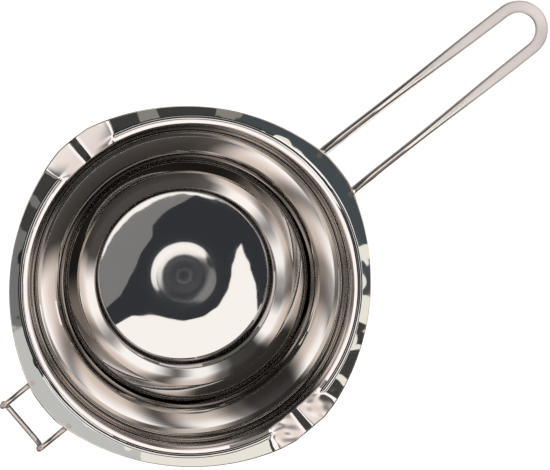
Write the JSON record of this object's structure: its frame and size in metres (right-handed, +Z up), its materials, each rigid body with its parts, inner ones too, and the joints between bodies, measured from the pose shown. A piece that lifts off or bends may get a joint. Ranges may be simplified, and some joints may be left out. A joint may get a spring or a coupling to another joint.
{
  "type": "candle melting pot",
  "caption": "Stepped stainless double-boiler pot for melting wax: flanged bowl with opposite pouring spouts, flattened-wire loop handle and a wire hook on the far side.",
  "frame": {"origin": "middle of the underside of the flat base, on the plane that the pot stands on", "axes": "+Z up along the bowl's axis, +X out along the handle, +Y towards one of the two spouts; the hook is on the -X side"},
  "size_m": [0.267, 0.1528, 0.0848],
  "materials": {
    "bowl_steel": "polished stainless steel, satin lines around the inner walls",
    "handle_steel": "polished stainless wire",
    "hook_steel": "drawn stainless wire",
    "weld_steel": "dished spot weld",
    "tinted_weld": "spot weld with a brown heat tint"
  },
  "bodies": {
    "root": {"bowl": "bowl_steel", "handle_loop": "handle_steel", "hook": "hook_steel", "handle_weld_left": "weld_steel", "handle_weld_right": "weld_steel", "hook_weld_left": "tinted_weld", "hook_weld_right": "tinted_weld"}
  },
  "joints": []
}
